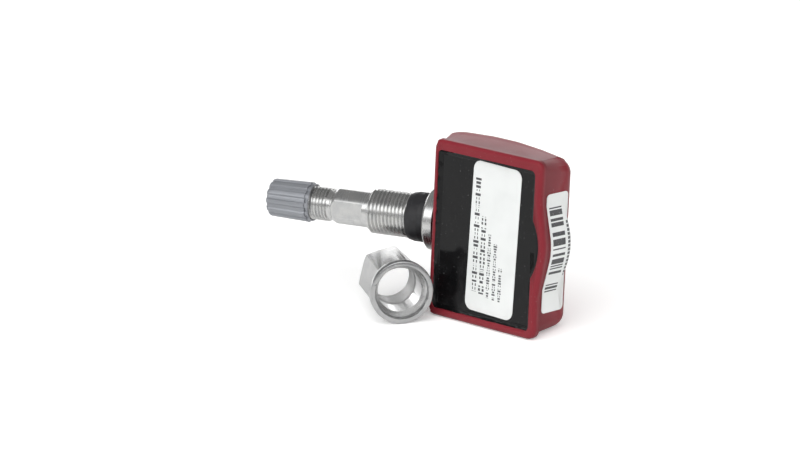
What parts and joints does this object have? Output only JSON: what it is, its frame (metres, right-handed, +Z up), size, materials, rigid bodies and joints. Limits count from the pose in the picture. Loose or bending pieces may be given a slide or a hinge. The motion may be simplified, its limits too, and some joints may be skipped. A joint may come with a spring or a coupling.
{
  "type": "tyre pressure sensor",
  "caption": "Potted red sensor housing on a clamp-in aluminium valve stem, with grommet, valve core, ribbed cap and a loose sleeve nut.",
  "frame": {"origin": "centre of the rim's valve hole on the seat, where the stem's flange clamps", "axes": "-X along the stem to its tip, +Z up along the housing's height, and +Y towards its back"},
  "size_m": [0.0765, 0.0273, 0.0414],
  "materials": {
    "housing_red": "moulded, satin",
    "potting_black": "poured, glossy",
    "label_white": "satin sheet",
    "board_green": "solder mask",
    "cell_steel": "plain",
    "chip_black": "moulded",
    "coil_copper": "enamelled wire",
    "stem_aluminium": "turned",
    "nut_aluminium": "turned, plain",
    "seal_rubber": "moulded",
    "core_brass": "turned",
    "pin_steel": "drawn",
    "cap_grey": "moulded"
  },
  "bodies": {
    "sensor": {"housing": "housing_red", "potting": "potting_black", "circuit_board": "board_green", "coin_cell": "cell_steel", "positive_tab": "cell_steel", "negative_tab": "cell_steel", "sensor_chip": "chip_black", "pressure_seal": "seal_rubber", "crystal": "cell_steel", "pickup_coil_core": "chip_black", "pickup_coil_winding": "coil_copper", "loop_antenna": "coil_copper", "chip_capacitors": "chip_black", "chip_resistors": "chip_black", "valve_stem": "stem_aluminium", "stud_nut": "pin_steel", "rim_grommet": "seal_rubber", "core_plug": "core_brass", "core_barrel": "core_brass", "core_gasket": "seal_rubber", "core_spring": "pin_steel", "sleeve_nut": "nut_aluminium", "face_label": "label_white", "side_label": "label_white"},
    "cap": {"valve_cap": "cap_grey", "cap_seal": "seal_rubber"},
    "pin": {"core_pin": "pin_steel", "core_cup": "seal_rubber"}
  },
  "joints": [
    {"name": "cap_off", "type": "slide", "parent": "sensor", "child": "cap", "axis": [-1, 0, 0], "range_m": [0, 0.014]},
    {"name": "pin_press", "type": "slide", "parent": "sensor", "child": "pin", "axis": [1, 0, 0], "range_m": [0, 0.0012], "stiffness_N_per_m": 100, "springref_m": -0.0005, "deforming": ["core_spring"]}
  ]
}
